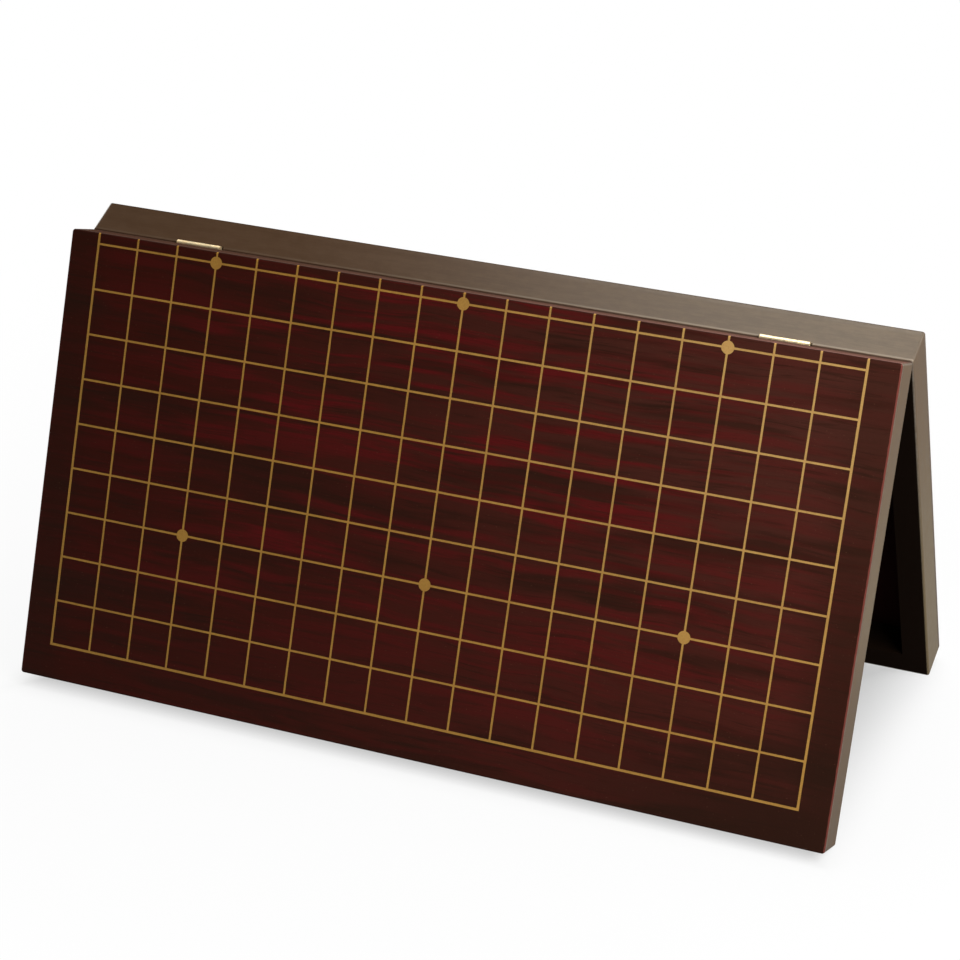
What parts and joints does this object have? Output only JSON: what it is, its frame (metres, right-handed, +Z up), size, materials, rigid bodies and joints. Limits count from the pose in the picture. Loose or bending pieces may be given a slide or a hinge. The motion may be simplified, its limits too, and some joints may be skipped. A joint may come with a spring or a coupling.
{
  "type": "folding go board",
  "caption": "Folding board for the game of go: shallow hinged trays that stand open like a tent, close on each other to hold the stones, and open flat into the full grid.",
  "frame": {"origin": "on the ground, under the middle of the fold", "axes": "+X along the fold to the right, +Y from the front half to the back half, +Z up; the front half is on the -Y side"},
  "size_m": [0.44, 0.2102, 0.226],
  "materials": {
    "rosewood": "satin dark reddish brown with fine straight grain along the fold",
    "gold_paint": "matt gold-ochre paint filling",
    "rail_wood": "satin grey-brown stained wood",
    "brass": "polished pale brass",
    "brass_screw": "polished brass",
    "magnet": "bright nickel plating"
  },
  "bodies": {
    "front_half": {"front_grid_lines": "gold_paint", "front_play_panel": "rosewood", "front_hinge_rail": "rail_wood", "front_outer_rail": "rail_wood", "front_closure_magnets": "magnet", "front_left_end_rail": "rail_wood", "front_right_end_rail": "rail_wood", "left_hinge_front_leaf": "brass", "left_hinge_front_screws": "brass_screw", "right_hinge_front_leaf": "brass", "right_hinge_front_screws": "brass_screw", "left_hinge_pin": "brass", "right_hinge_pin": "brass"},
    "back_half": {"back_grid_lines": "gold_paint", "back_play_panel": "rosewood", "back_hinge_rail": "rail_wood", "back_outer_rail": "rail_wood", "back_closure_magnets": "magnet", "back_left_end_rail": "rail_wood", "back_right_end_rail": "rail_wood", "left_hinge_back_leaf": "brass", "left_hinge_back_screws": "brass_screw", "right_hinge_back_leaf": "brass", "right_hinge_back_screws": "brass_screw"}
  },
  "joints": [
    {"name": "fold", "type": "hinge", "parent": "front_half", "child": "back_half", "pos_m": [0, 0, 0.21866], "axis": [1, 0, 0], "range_deg": [-42.7, 137.3]}
  ]
}
